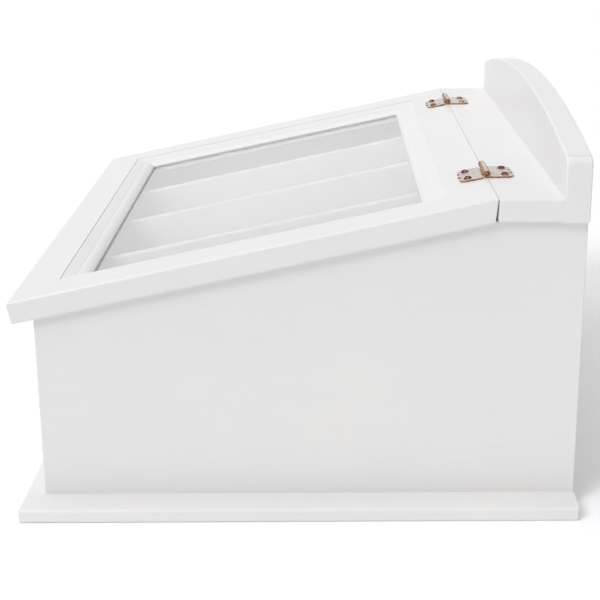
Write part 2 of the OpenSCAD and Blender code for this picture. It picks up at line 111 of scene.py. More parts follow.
class ChestFinish(bpy.types.PropertyGroup):
    """Colours and finishes of the chest"""

    paint: bpy.props.FloatVectorProperty(
        name="Paint", description="Colour of the painted boards", subtype="COLOR",
        size=3, min=0, max=1, default=(0.80, 0.792, 0.797),
    )
    paint_warm: bpy.props.FloatVectorProperty(
        name="Paint, warm", description="Warmer shade that the paint drifts to", subtype="COLOR",
        size=3, min=0, max=1, default=(0.815, 0.806, 0.80),
    )
    paint_roughness: bpy.props.FloatProperty(
        name="Paint roughness", description="Roughness of the satin paint", default=0.42,
        min=0.05, max=1,
    )
    lining: bpy.props.FloatVectorProperty(
        name="Lining", description="White of the dividers and the floor under the glass",
        subtype="COLOR", size=3, min=0, max=1, default=(0.80, 0.795, 0.797),
    )
    # Painted shade: how much darker the dividers' upward faces are painted.
    divider_top_shade: bpy.props.FloatProperty(
        name="Divider tops", description="How much duller the dividers' upper edges are",
        subtype="FACTOR", default=0.45, min=0, max=1,
    )
    glass_tint: bpy.props.FloatVectorProperty(
        name="Glass", description="Colour that the pane lets through", subtype="COLOR",
        size=3, min=0, max=1, default=(0.93, 0.932, 0.932),
    )
    glass_shade: bpy.props.FloatVectorProperty(
        name="Glass shade", description="Share of the lamps' light that the pane lets through",
        subtype="COLOR", size=3, min=0, max=1, default=(0.74, 0.742, 0.742),
    )
    # Dust haze and painted reflection: a white diffuse share that stands in for the pane's
    # whitish reflection.
    glass_dust_and_reflection: bpy.props.FloatProperty(
        name="Glass haze", description="Share of light that dust on the pane scatters",
        subtype="FACTOR", default=0.15, min=0, max=0.4,
    )
    bronze_dark: bpy.props.FloatVectorProperty(
        name="Bronze, dark", description="Patina left in the hollows", subtype="COLOR",
        size=3, min=0, max=1, default=(0.075, 0.038, 0.022),
    )
    # Pale metal for rubbed spots and for the painted highlight on upward faces.
    bronze_light: bpy.props.FloatVectorProperty(
        name="Bronze, rubbed", description="Metal rubbed bright on the high spots",
        subtype="COLOR", size=3, min=0, max=1, default=(0.60, 0.55, 0.52),
    )
    copper: bpy.props.FloatVectorProperty(
        name="Copper", description="Reddish metal between patina and rubbed metal",
        subtype="COLOR", size=3, min=0, max=1, default=(0.40, 0.19, 0.10),
    )
    steel: bpy.props.FloatVectorProperty(
        name="Steel", description="Colour of the zinc-plated screws", subtype="COLOR",
        size=3, min=0, max=1, default=(0.56, 0.57, 0.58),
    )
    beech: bpy.props.FloatVectorProperty(
        name="Beech", description="Colour of the bare dowels", subtype="COLOR",
        size=3, min=0, max=1, default=(0.55, 0.37, 0.21),
    )


class ChestShape(bpy.types.PropertyGroup):
    """Small shapes that the makers' tools leave"""

    shelf_ease: bpy.props.FloatProperty(
        name="Shelf edges", description="Radius that eases the edges of the shelf",
        default=1.4 * MM, min=0.2 * MM, max=3 * MM, unit="LENGTH", precision=5,
    )
    crest_ease: bpy.props.FloatProperty(
        name="Crest edges", description="Radius that eases the edges of the arched crest",
        default=1.0 * MM, min=0.2 * MM, max=2 * MM, unit="LENGTH", precision=5,
    )
    panel_ease: bpy.props.FloatProperty(
        name="Panel edges", description="Radius that eases the case and drawer boards",
        default=0.7 * MM, min=0.1 * MM, max=2 * MM, unit="LENGTH", precision=5,
    )
    trim_ease: bpy.props.FloatProperty(
        name="Trim edges", description="Radius that eases dividers, beads and inner boards",
        default=0.4 * MM, min=0.1 * MM, max=1 * MM, unit="LENGTH", precision=5,
    )
    divider_ease: bpy.props.FloatProperty(
        name="Divider edges", description="Radius that rounds the dividers' upper edges",
        default=1.5 * MM, min=0.2 * MM, max=1.8 * MM, unit="LENGTH", precision=5,
    )
    metal_ease: bpy.props.FloatProperty(
        name="Metal edges", description="Radius that eases the hinge plates",
        default=0.16 * MM, min=0.02 * MM, max=0.3 * MM, unit="LENGTH", precision=5,
    )
    glass_ease: bpy.props.FloatProperty(
        name="Glass edges", description="Radius ground on the pane's edges",
        default=0.3 * MM, min=0.05 * MM, max=0.8 * MM, unit="LENGTH", precision=5,
    )
    seam_top: bpy.props.FloatProperty(
        name="Seam", description="Width of the seam between lid and shelf at its top",
        default=0.1 * MM, min=0.05 * MM, max=0.3 * MM, unit="LENGTH", precision=5,
    )
    seam_ease: bpy.props.FloatProperty(
        name="Seam edge", description="Radius left on the lid's top rear edge",
        default=0.2 * MM, min=0.05 * MM, max=1 * MM, unit="LENGTH", precision=5,
    )
    recess_width: bpy.props.FloatProperty(
        name="Recess width", description="Width of the cross recess in the hinge screws",
        default=0.6 * MM, min=0.3 * MM, max=1 * MM, unit="LENGTH", precision=5,
    )
    steel_recess_width: bpy.props.FloatProperty(
        name="Steel recess width", description="Width of the cross recess in the steel screws",
        default=1.1 * MM, min=0.5 * MM, max=1.5 * MM, unit="LENGTH", precision=5,
    )


class ChestStage(bpy.types.PropertyGroup):
    """Camera, lights and floor"""

    camera_at: bpy.props.FloatVectorProperty(
        name="Camera", description="Camera position", subtype="TRANSLATION", size=3,
        default=(0.7275, 0.0139, 0.3215),
    )
    camera_pitch: bpy.props.FloatProperty(
        name="Pitch", description="How far the camera looks down", subtype="ANGLE",
        default=math.radians(15.29),
    )
    camera_turn: bpy.props.FloatProperty(
        name="Turn", description="How far the camera turns to the back", subtype="ANGLE",
        default=math.radians(0.52),
    )
    camera_lens: bpy.props.FloatProperty(
        name="Lens", description="Focal length in millimetres", default=72.7, min=10, max=300,
    )
    camera_shift: bpy.props.FloatVectorProperty(
        name="Shift", description="Lens shift across and up", size=2, default=(-0.06, -0.16),
    )
    floor_colour: bpy.props.FloatVectorProperty(
        name="Floor", description="Colour of the floor", subtype="COLOR", size=3, min=0, max=1,
        default=(0.97, 0.97, 0.97),
    )
    floor_glow: bpy.props.FloatProperty(
        name="Floor glow", description="Light that comes up through the white floor",
        default=0.08, min=0, max=1,
    )
    backdrop: bpy.props.FloatProperty(
        name="Backdrop", description="Brightness of the white studio walls", default=1.0,
        min=0, max=5,
    )
    fill: bpy.props.FloatProperty(
        name="Fill light", description="Light that the walls throw on the chest", default=0.43,
        min=0, max=5,
    )
    key: bpy.props.FloatProperty(
        name="Key light", description="Strength of the soft lamp on the front right",
        default=1.2, min=0, max=20,
    )
    key_from: bpy.props.FloatVectorProperty(
        name="Key from", description="Where the soft lamp on the front right stands",
        subtype="TRANSLATION", size=3, default=(1.6, -1.7, 2.0),
    )
    key_spread: bpy.props.FloatProperty(
        name="Key spread", description="Apparent width of the front right lamp",
        subtype="ANGLE", default=math.radians(24), min=0, max=math.pi,
    )
    overhead: bpy.props.FloatProperty(
        name="Overhead light", description="Strength of the wide soft lamp overhead",
        default=0.97, min=0, max=20,
    )
    overhead_from: bpy.props.FloatVectorProperty(
        name="Overhead from", description="Where the overhead lamp stands",
        subtype="TRANSLATION", size=3, default=(0.0, -0.95, 2.65),
    )
    overhead_spread: bpy.props.FloatProperty(
        name="Overhead spread", description="Apparent width of the overhead lamp",
        subtype="ANGLE", default=math.radians(50), min=0, max=math.pi,
    )


# ---------------------------------------------------------------- materials


class Nodes:
    """Short calls that build one node material."""

    def __init__(self, name):
        self.material = bpy.data.materials.new(name)
        self.material.use_nodes = True
        self.tree = self.material.node_tree
        self.tree.nodes.clear()
        self.output = self.tree.nodes.new("ShaderNodeOutputMaterial")

    def add(self, kind, inputs=None, **settings):
        """A node with its settings and inputs; an input is a value or another node's output."""
        node = self.tree.nodes.new("ShaderNode" + kind)
        for key, value in settings.items():
            setattr(node, key, value)
        for key, value in (inputs or {}).items():
            if isinstance(value, bpy.types.NodeSocket):
                self.tree.links.new(value, node.inputs[key])
            else:
                node.inputs[key].default_value = value
        return node

    def place(self, stretch=(1, 1, 1), tilt=0.0):
        """Object coordinates turned back by tilt about X, with features stretched per axis."""
        coordinates = self.add("TexCoord").outputs["Object"]
        mapped = self.add(
            "Mapping",
            {"Vector": coordinates, "Rotation": (tilt, 0, 0), "Scale": stretch},
            vector_type="TEXTURE",
        )
        return mapped.outputs["Vector"]

    def noise(self, vector, size, detail=3.0, roughness=0.55):
        """Noise whose features are about size metres across."""
        return self.add(
            "TexNoise",
            {"Vector": vector, "Scale": 1 / size, "Detail": detail, "Roughness": roughness},
        ).outputs["Fac"]

    def upward(self):
        """How far the surface faces up, from -1 to 1."""
        facing = self.add("TexCoord").outputs["Normal"]
        return self.add("SeparateXYZ", {"Vector": facing}).outputs["Z"]

    def ramp(self, factor, low, high):
        """factor spread so that low gives 0 and high gives 1."""
        spread = self.add(
            "MapRange", {"Value": factor, "From Min": low, "From Max": high}, clamp=True
        )
        return spread.outputs["Result"]

    def range(self, factor, low, high):
        """factor from 0 to 1 turned into low to high."""
        spread = self.add("MapRange", {"Value": factor, "To Min": low, "To Max": high})
        return spread.outputs["Result"]

    def mix(self, factor, first, second):
        """Colour mix of two colours or colour outputs."""
        node = self.add("Mix", data_type="RGBA")
        for socket, value in zip((node.inputs[0], node.inputs[6], node.inputs[7]),
                                 (factor, first, second)):
            if isinstance(value, bpy.types.NodeSocket):
                self.tree.links.new(value, socket)
            else:
                socket.default_value = value
        return node.outputs[2]

    def bump(self, height, depth, normal=None):
        """Bump of depth metres."""
        inputs = {"Height": height, "Strength": 1.0, "Distance": depth}
        if normal is not None:
            inputs["Normal"] = normal
        return self.add("Bump", inputs).outputs["Normal"]

    def surface(self, shader):
        """Sets the shader as the surface and returns the material."""
        self.tree.links.new(shader, self.output.inputs["Surface"])
        return self.material


def rgba(colour):
    """A colour property with full alpha."""
    return (colour[0], colour[1], colour[2], 1.0)


# Stretch of the wood fibres along each axis.
GRAINS = {"x": (18, 1, 1), "y": (1, 18, 1), "z": (1, 1, 18)}

# Second colours that the finishes are mixed with.
GRAIN_SHADE = (0.42, 0.40, 0.39, 1)
# Painted shade that darkens the dividers' upward faces.
PAINTED_SHADE = (0.35, 0.345, 0.34, 1)
ZINC_CLOUD = (0.44, 0.43, 0.38, 1)
BEECH_FLECK = (0.38, 0.22, 0.11, 1)
PAPER_TOOTH = (0.9, 0.9, 0.9, 1)

# White of the studio's walls and of the paper's glow.
WHITE = (1, 1, 1, 1)

# Widths of the paint's features and depths of their bumps.
DRIFT_SIZE = 70 * MM
SHEEN_SIZE = 20 * MM
WAVE_SIZE, WAVE_DEPTH = 12 * MM, 0.10 * MM
FIBRE_SIZE, FIBRE_DEPTH = 1.4 * MM, 0.015 * MM
STIPPLE_SIZE, STIPPLE_DEPTH = 0.8 * MM, 0.018 * MM

# The same for the bronze, the steel, the glass, the beech and the paper.
PATINA_SIZE, PATINA_DEPTH = 3.5 * MM, 0.10 * MM
GRIT_SIZE, GRIT_DEPTH = 0.4 * MM, 0.04 * MM
TURNING_SIZE, TURNING_DEPTH = 0.6 * MM, 0.02 * MM
CLOUD_SIZE = 3 * MM
SMEAR_SIZE = 30 * MM
FLECK_SIZE, FLECK_DEPTH = 0.7 * MM, 0.05 * MM
TOOTH_SIZE = 2 * MM

# Share of the second colour in the strongest wood fibre and in the paper's tooth.
FIBRE_SHARE = 0.035
TOOTH_SHARE = 0.02

# Part of the noise over which the patina fades to copper.
PATINA_FADE = 0.14

# How far the paint's roughness drifts down and up.
SMOOTHER = 0.06
ROUGHER = 0.08


def painted_wood(name, paint, warm, gloss, grain, tilt=0.0, painted_top_shade=0.0):
    """Satin paint rolled over fine-sanded board, its grain along one axis, with painted shade on
    its upward faces.
    """
    n = Nodes(name)
    plain = n.place()
    along = n.place(GRAINS[grain], tilt)
    drift = n.noise(plain, DRIFT_SIZE)
    fibre = n.noise(along, FIBRE_SIZE, roughness=0.5)
    stipple = n.noise(plain, STIPPLE_SIZE, detail=2)
    waviness = n.noise(plain, WAVE_SIZE, detail=1)
    tone = n.mix(n.ramp(drift, 0.35, 0.65), rgba(paint), rgba(warm))
    shade = n.mix(n.range(n.ramp(fibre, 0.35, 0.75), 0.0, FIBRE_SHARE), tone, GRAIN_SHADE)
    # Painted shade: the more a face looks up, the darker it is painted.
    if painted_top_shade:
        shade = n.mix(n.range(n.ramp(n.upward(), 0.1, 0.8), 0.0, painted_top_shade), shade, PAINTED_SHADE)
    rough = n.range(n.noise(plain, SHEEN_SIZE), gloss - SMOOTHER, gloss + ROUGHER)
    wave = n.bump(waviness, WAVE_DEPTH)
    grained = n.bump(fibre, FIBRE_DEPTH, wave)
    rolled = n.bump(stipple, STIPPLE_DEPTH, grained)
    coat = n.add(
        "BsdfPrincipled",
        {"Base Color": shade, "Roughness": rough, "Normal": rolled,
         "Specular IOR Level": 0.45, "Coat Weight": 0.12, "Coat Roughness": 0.25},
    )
    return n.surface(coat.outputs["BSDF"])


def clear_glass(finish):
    """Float glass: faint tint, a milky haze that is dust and a painted reflection, a few fine
    smears, and lamps shine through it.
    """
    n = Nodes("clear_glass")
    smears = n.noise(n.place((1, 4, 1)), SMEAR_SIZE, detail=5, roughness=0.65)
    glass = n.add(
        "BsdfPrincipled",
        {"Base Color": rgba(finish.glass_tint), "IOR": 1.5,
         # Painted reflection: the share taken from transmission scatters white, like dust and
         # like the pane's reflection.
         "Transmission Weight": 1.0 - finish.glass_dust_and_reflection,
         "Roughness": n.range(n.ramp(smears, 0.5, 0.8), 0.0, 0.05)},
    )
    lit_through = n.add("BsdfTransparent", {"Color": rgba(finish.glass_shade)})
    path = n.add("LightPath")
    both = n.add(
        "MixShader",
        {0: path.outputs["Is Shadow Ray"], 1: glass.outputs["BSDF"],
         2: lit_through.outputs["BSDF"]},
    )
    return n.surface(both.outputs["Shader"])


def antique_bronze(finish, name, rub_and_highlight_reach, patina=0.36):
    """Bronze plating: dark patina in spots, copper on the sides, pale on upward faces from
    rubbing and a painted highlight.

    worn widens the pale metal, which is rubbing and a painted highlight, and patina widens the
    dark spots.
    """
    n = Nodes(name)
    plain = n.place()
    patches = n.noise(plain, PATINA_SIZE, detail=5, roughness=0.6)
    grit = n.noise(plain, GRIT_SIZE)
    # Rubbed wear and a painted highlight: the more a face looks up, the paler the metal where the
    # patina noise allows.
    rub_and_highlight_mask = n.add(
        "Math", {0: n.ramp(n.upward(), 0.45, 0.97), 1: n.range(patches, 0.45, 1.15)},
        operation="MULTIPLY",
    ).outputs["Value"]
    aged = n.mix(n.ramp(patches, patina, patina + PATINA_FADE), rgba(finish.bronze_dark),
                 rgba(finish.copper))
    rubbed = n.mix(n.ramp(rub_and_highlight_mask, 0.62 - rub_and_highlight_reach, 0.90 - rub_and_highlight_reach), aged, rgba(finish.bronze_light))
    rough = n.range(n.ramp(patches, 0.3, 0.7), 0.50, 0.32)
    metal = n.add(
        "BsdfPrincipled",
        {"Base Color": rubbed, "Metallic": 1.0, "Roughness": rough,
         "Normal": n.bump(grit, GRIT_DEPTH, n.bump(patches, PATINA_DEPTH))},
    )
    return n.surface(metal.outputs["BSDF"])


def zinc_steel(finish):
    """Zinc-plated steel with turning marks."""
    n = Nodes("zinc_steel")
    marks = n.noise(n.place((6, 6, 0.3)), TURNING_SIZE, detail=2)
    clouds = n.noise(n.place(), CLOUD_SIZE)
    steel = n.add(
        "BsdfPrincipled",
        {"Base Color": n.mix(n.ramp(clouds, 0.4, 0.7), rgba(finish.steel), ZINC_CLOUD),
         "Metallic": 1.0, "Roughness": n.range(clouds, 0.22, 0.42),
         "Normal": n.bump(marks, TURNING_DEPTH)},
    )
    return n.surface(steel.outputs["BSDF"])


def bare_beech(finish):
    """Bare turned beech with flecks along the grain."""
    n = Nodes("bare_beech")
    flecks = n.noise(n.place((1, 6, 6)), FLECK_SIZE, detail=4)
    wood = n.add(
        "BsdfPrincipled",
        {"Base Color": n.mix(n.ramp(flecks, 0.35, 0.7), rgba(finish.beech), BEECH_FLECK),
         "Roughness": n.range(flecks, 0.55, 0.75), "Normal": n.bump(flecks, FLECK_DEPTH)},
    )
    return n.surface(wood.outputs["BSDF"])


def studio_floor(stage):
    """Pale seamless paper with a faint glow."""
    n = Nodes("studio_floor")
    tooth = n.noise(n.place(), TOOTH_SIZE)
    paper = n.add(
        "BsdfPrincipled",
        {"Base Color": n.mix(n.range(tooth, 0, TOOTH_SHARE), rgba(stage.floor_colour),
                             PAPER_TOOTH),
         "Roughness": 0.9, "Specular IOR Level": 0.0,
         "Emission Color": WHITE, "Emission Strength": stage.floor_glow},
    )
    return n.surface(paper.outputs["BSDF"])


def finish_named(name):
    """The material of that name, made on first use."""
    made = bpy.data.materials.get(name)
    if made:
        return made
    finish = bpy.context.scene.chest_finish
    paints = {
        "paint": (finish.paint, finish.paint_warm),
        "lining": (finish.lining, finish.lining),
        "divider": (finish.lining, finish.lining),
    }
    kind, grain, *place = name.split("_")
    if kind in paints:
        tilt = lid_slope() if place == ["lid"] else 0.0
        # Only the dividers get the painted shade on their upward faces.
        painted_top_shade = finish.divider_top_shade if kind == "divider" else 0.0
        return painted_wood(name, *paints[kind], finish.paint_roughness, grain, tilt, painted_top_shade)
    makers = {
        "clear_glass": lambda: clear_glass(finish),
        "rubbed_bronze": lambda: antique_bronze(finish, name, rub_and_highlight_reach=0.12),
        "dark_bronze": lambda: antique_bronze(finish, name, rub_and_highlight_reach=-0.20),
        "patinated_bronze": lambda: antique_bronze(finish, name, rub_and_highlight_reach=-0.05, patina=0.47),
        "zinc_steel": lambda: zinc_steel(finish),
        "bare_beech": lambda: bare_beech(finish),
    }
    return makers[name]()


# ---------------------------------------------------------------- mesh helpers


def add_piece(name, bm, material, stands_for):
    """Turns bm into a smooth-shaded piece that replaces the CAD nodes and rides with them."""
    mesh = bpy.data.meshes.new(name)
    bmesh.ops.recalc_face_normals(bm, faces=bm.faces)
    bm.to_mesh(mesh)
    bm.free()
    for layer in [a for a in mesh.attributes if a.name == "custom_normal"]:
        mesh.attributes.remove(layer)
    mesh.shade_smooth()
    mesh.set_sharp_from_angle(angle=SHARP_FROM)
    mesh.materials.clear()
    mesh.materials.append(finish_named(material))
    piece = bpy.data.objects.new(name, mesh)
    bpy.context.collection.objects.link(piece)
    flat = piece.modifiers.new("flat faces", "WEIGHTED_NORMAL")
    flat.keep_sharp = True
    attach(piece, BODY_OF[stands_for[0]])
    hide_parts(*stands_for)
    return piece


def node_shape(node):
    """A bmesh of the CAD node with its faces joined up and its flat faces whole."""
    bm = bmesh.new()
    bm.from_mesh(NODES[node].data)
    bmesh.ops.remove_doubles(bm, verts=bm.verts, dist=SAME_POINT)
    bmesh.ops.dissolve_limit(bm, angle_limit=SAME_FACE, verts=bm.verts, edges=bm.edges)
    return bm


def level(axis, value):
    """The plane at value on the x, y or z axis, as a point on it and its normal."""
    normal = Vector((axis == "x", axis == "y", axis == "z"))
    return normal * value, normal


def on_plane(edge, plane):
    """True if the edge lies on the plane, given as a point on it and its normal."""
    point, normal = plane
    return all(abs((v.co - point).dot(normal)) < ON_PLANE for v in edge.verts)


def ease_edges(bm, radius, joints=(), shortest=4.0, segments=3, clamp=True):
    """Rounds the outer sharp edges, but not short or tagged ones or those on joint planes.

    shortest is in radii.
    """
    picked = [
        e for e in bm.edges
        if len(e.link_faces) == 2
        and e.calc_face_angle(0) > EASED_FROM
        and e.is_convex
        and e.calc_length() > shortest * radius
        and not e.tag
        and not any(on_plane(e, plane) for plane in joints)
    ]
    bmesh.ops.bevel(
        bm, geom=picked, offset=radius, offset_type="OFFSET", segments=segments,
        profile=0.5, affect="EDGES", clamp_overlap=clamp,
    )


def eased_piece(node, radius, material, joints=(), suffix="eased", segments=3):
    """The CAD node with eased edges, as a piece of its own."""
    bm = node_shape(node)
    if radius:
        ease_edges(bm, radius, joints, segments=segments)
    return add_piece(f"{node}_{suffix}", bm, material, [node])


def give_finish(node, material):
    """Gives a CAD node its material and leaves its mesh as it is."""
    shown = NODES[node]
    if not shown.material_slots:
        shown.data.materials.append(None)
    for place in shown.material_slots:
        place.link = "OBJECT"
        place.material = finish_named(material)


def islands(node):
    """Point lists of the node's separate solids, in the same order on every run."""
    bm = node_shape(node)
    seen = set()
    found = []
    for start in bm.verts:
        if start in seen:
            continue
        seen.add(start)
        island = [start]
        for vert in island:
            neighbours = [edge.other_vert(vert) for edge in vert.link_edges]
            fresh = [other for other in neighbours if other not in seen]
            seen.update(fresh)
            island += fresh
        found.append([vert.co.copy() for vert in island])
    bm.free()
    return sorted(found, key=lambda points: tuple(round(c, 4) for c in sum(points, Vector())))


def spin(bm, profile, steps, place):
    """A closed turned shape from (radius, height) points that start and end on the axis."""
    rings = []
    for radius, height in profile:
        count = steps if radius > SAME_POINT else 1
        turns = [2 * math.pi * k / steps for k in range(count)]
        rings.append([
            bm.verts.new(place @ Vector((radius * math.cos(t), radius * math.sin(t), height)))
            for t in turns
        ])
    for low, high in zip(rings, rings[1:]):
        for k in range(steps):
            after = (k + 1) % steps
            corners = [low[k % len(low)], low[after % len(low)],
                       high[after % len(high)], high[k % len(high)]]
            unique = list(dict.fromkeys(corners))
            if len(unique) > 2:
                bm.faces.new(unique)


# Half the length and the depth of a screw's cross recess, as shares of its head's radius.
RECESS_REACH = 0.62
RECESS_DEPTH = 0.28


def cut_cross(piece, places, width, reach, depth):
    """Cuts a cross recess down from each place, which is the top of a screw's head."""
    bm = bmesh.new()
    for place in places:
        for turn in (0, math.pi / 2):
            size = Matrix.Diagonal((2 * reach, width, 2 * depth, 1))
            arm = bmesh.ops.create_cube(bm, size=1, matrix=size)
            bmesh.ops.transform(
                bm, matrix=place @ Matrix.Rotation(turn, 4, "Z"), verts=arm["verts"]
            )
    mesh = bpy.data.meshes.new("cutter")
    bm.to_mesh(mesh)
    bm.free()
    cutter = bpy.data.objects.new("cutter", mesh)
    bpy.context.collection.objects.link(cutter)
    cut = piece.modifiers.new("recess", "BOOLEAN")
    cut.object = cutter
    cut.solver = "EXACT"
    cut.use_self = True
    piece.modifiers.move(len(piece.modifiers) - 1, 0)
    shaped = bpy.data.meshes.new_from_object(
        piece.evaluated_get(bpy.context.evaluated_depsgraph_get())
    )
    piece.modifiers.clear()
    piece.data = shaped
    bpy.data.objects.remove(cutter)


def screws_piece(node, outwards, head, width, material, suffix):
    """Turned screws with a cross recess, in the places of the node's plain ones."""
    bm = bmesh.new()
    tops = []
    for points in islands(node):
        top = max(points, key=lambda p: p.dot(outwards))
        tip = min(points, key=lambda p: p.dot(outwards)).dot(outwards)
        ring = [p for p in points if abs(p.dot(outwards) - tip) < SAME_HEIGHT]
        foot = sum(ring, Vector()) / len(ring)
        reach = top.dot(outwards) - tip
        shank_r = max((p - foot).length for p in ring)
        head_r = max(((p - foot) - outwards * (p - foot).dot(outwards)).length for p in points)
        turn = outwards.to_track_quat("Z", "Y").to_matrix().to_4x4()
        place = Matrix.Translation(foot + outwards * reach) @ turn
        spin(bm, head(shank_r, head_r, reach), TURNED_SIDES, place)
        tops.append(place)
    piece = add_piece(f"{node}_{suffix}", bm, material, [node])
    cut_cross(piece, tops, width, head_r * RECESS_REACH, head_r * RECESS_DEPTH)
    return piece


def arc(centre, radius, start, end, steps):
    """Points of an arc in (radius, height), angles in degrees."""
    points = []
    for k in range(steps + 1):
        a = math.radians(start + (end - start) * k / steps)
        points.append((centre[0] + radius * math.cos(a), centre[1] + radius * math.sin(a)))
    return points


# ---------------------------------------------------------------- operators


class ChestOperator:
    """What the operators share."""

    bl_options = {"REGISTER", "UNDO"}

    @property
    def shape(self):
        """The user's settings for the small shapes."""
        return bpy.context.scene.chest_shape


def board_joints():
    """The planes that the case boards are glued on, where no edge is eased."""
    base_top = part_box("base_board")[1].z
    floor_low, floor_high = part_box("compartment_floor")
    back_low, back_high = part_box("back_panel")
    rail_low, rail_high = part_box("front_rail")
    planes = [level("z", base_top), level("z", back_high.z), level("z", floor_low.z),
              level("z", floor_high.z), level("y", back_low.y), level("y", rail_high.y)]
    planes += [level("x", value) for value in (back_low.x, back_high.x)]
    planes += [level("x", value) for value in (rail_low.x, rail_high.x)]
    return planes


class CHEST_OT_base(ChestOperator, bpy.types.Operator):
    """Builds the base board with its rounded edges"""

    bl_idname = "chest.base"
    bl_label = "Base board"

    def execute(self, context):
        eased_piece("base_board", 0, "paint_x", suffix="worked")
        return {"FINISHED"}


class CHEST_OT_case(ChestOperator, bpy.types.Operator):
    """Builds the side panels, back, front board, partition, floor and dividers"""

    bl_idname = "chest.case"
    bl_label = "Case boards"

    def execute(self, context):
        panel, trim = self.shape.panel_ease, self.shape.trim_ease
        joints = board_joints()
        for side in SIDES:
            eased_piece(f"{side}_side_panel", panel, "paint_y", joints)
        eased_piece("back_panel", 0, "paint_x", suffix="fitted")
        eased_piece("front_rail", trim, "paint_x", joints)
        eased_piece("drawer_partition", trim, "paint_z", joints)
        eased_piece("compartment_floor", 0, "lining_x", suffix="fitted")
        for place in ("left", "centre", "right"):
            eased_piece(f"{place}_divider", self.shape.divider_ease, "divider_y",
                        joints)
        return {"FINISHED"}


class CHEST_OT_shelf_and_crest(ChestOperator, bpy.types.Operator):
    """Builds the level shelf and the arched crest, glued and filled at their joint"""

    bl_idname = "chest.shelf_and_crest"
    bl_label = "Shelf and crest"

    def execute(self, context):
        low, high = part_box("top_shelf")
        seam = (Vector((0, low.y, high.z)), Vector((0, 1, 1)).normalized())
        eased_piece("top_shelf", self.shape.shelf_ease, "paint_x",
                    [level("y", high.y), seam])
        self.crest(high.z)
        return {"FINISHED"}

    def crest(self, shelf_top):
        """The crest, its front and back edges eased, and left square where it is glued."""
        bm = node_shape("crest_board")
        bmesh.ops.bisect_plane(
            bm, geom=bm.verts[:] + bm.edges[:] + bm.faces[:], dist=SAME_HEIGHT,
            plane_co=(0, 0, shelf_top), plane_no=UP,
        )
        low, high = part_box("crest_board")
        front = level("y", low.y)
        for edge in bm.edges:
            first, second = (v.co for v in edge.verts)
            glued = on_plane(edge, front) and min(first.z, second.z) < shelf_top - SAME_HEIGHT
            through = abs(first.y - second.y) > (high.y - low.y) / 3
            edge.tag = glued or through
        ease_edges(bm, self.shape.crest_ease, shortest=0.2, clamp=False)
        add_piece("crest_board_eased", bm, "paint_x", ["crest_board"])


class CHEST_OT_lid_frame(ChestOperator, bpy.types.Operator):
    """Builds the mitred lid frame and the beads under the glass"""

    bl_idname = "chest.lid_frame"
    bl_label = "Lid frame"

    def execute(self, context):
        frame_sides = {"front_rail": "x", "back_rail": "x", "left_stile": "y", "right_stile": "y"}
        for part, grain in frame_sides.items():
            bm = node_shape(f"lid_{part}")
            self.close_seam(bm)
            add_piece(f"lid_{part}_moulded", bm, f"paint_{grain}_lid", [f"lid_{part}"])
        for place, grain in (("front", "x"), ("back", "x"), ("left", "y"), ("right", "y")):
            eased_piece(f"glass_bead_{place}", self.shape.trim_ease, f"paint_{grain}_lid")
        return {"FINISHED"}

    def close_seam(self, bm):
        """Draws the rounding of the lid's top rear edge up into the seam's top corner."""
        low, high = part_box("lid_back_rail")
        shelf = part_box("top_shelf")[0].y
        rounding = max(high.y - v.co.y for v in NODES["lid_back_rail"].data.vertices
                       if v.co.z > high.z - SAME_POINT)
        start = high.y - rounding
        corner_y = shelf - self.shape.seam_top
        corner = Vector((0, corner_y, high.z + (corner_y - start) * math.tan(lid_slope())))
        share = self.shape.seam_ease / rounding
        for vert in bm.verts:
            if vert.co.y > start - SAME_HEIGHT and vert.co.z > high.z - rounding:
                place = corner + (vert.co - corner) * share
                vert.co = Vector((vert.co.x, place.y, place.z))


class CHEST_OT_glass(ChestOperator, bpy.types.Operator):
    """Builds the glass pane with ground edges"""

    bl_idname = "chest.glass"
    bl_label = "Glass pane"

    def execute(self, context):
        eased_piece("glass_pane", self.shape.glass_ease, "clear_glass",
                    suffix="ground", segments=2)
        return {"FINISHED"}


class CHEST_OT_hinges(ChestOperator, bpy.types.Operator):
    """Builds the hinge leaves and pins"""

    bl_idname = "chest.hinges"
    bl_label = "Hinges"

    def execute(self, context):
        for side in SIDES:
            for leaf in ("lid_leaf", "shelf_leaf"):
                eased_piece(f"{side}_hinge_{leaf}", self.shape.metal_ease,
                            "rubbed_bronze", suffix="pressed", segments=2)
            self.pin(f"{side}_hinge_pin")
        return {"FINISHED"}

    def pin(self, node):
        """Pin with rounded ends."""
        low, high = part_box(node)
        radius = (high.z - low.z) / 2
        half = (high.x - low.x) / 2
        round_r = 0.6 * radius
        end = arc((radius - round_r, half - round_r), round_r, 0, 90, steps=4)
        profile = [(0, -half)] + [(r, -h) for r, h in reversed(end)] + end + [(0, half)]
        bm = bmesh.new()
        place = Matrix.Translation((low + high) / 2) @ Matrix.Rotation(math.pi / 2, 4, "Y")
        spin(bm, profile, TURNED_SIDES, place)
        add_piece(f"{node}_turned", bm, "dark_bronze", [node])


def domed_screw(shank_r, head_r, reach):
    """Domed wood screw: a blunt point, a smooth shank and a low domed head."""
    dome = 1.3 * MM
    taper = 2.2 * MM
    tip_r = 0.35 * shank_r
    under_r = 0.97 * head_r
    curve = (head_r ** 2 + dome ** 2) / (2 * dome)
    sweep = math.degrees(math.asin(head_r / curve))
    cap = arc((0, -curve), curve, 90 - sweep, 90, steps=7)
    return [(0, -reach), (tip_r, -reach), (shank_r, -reach + taper),
            (shank_r, -dome), (under_r, -dome)] + cap


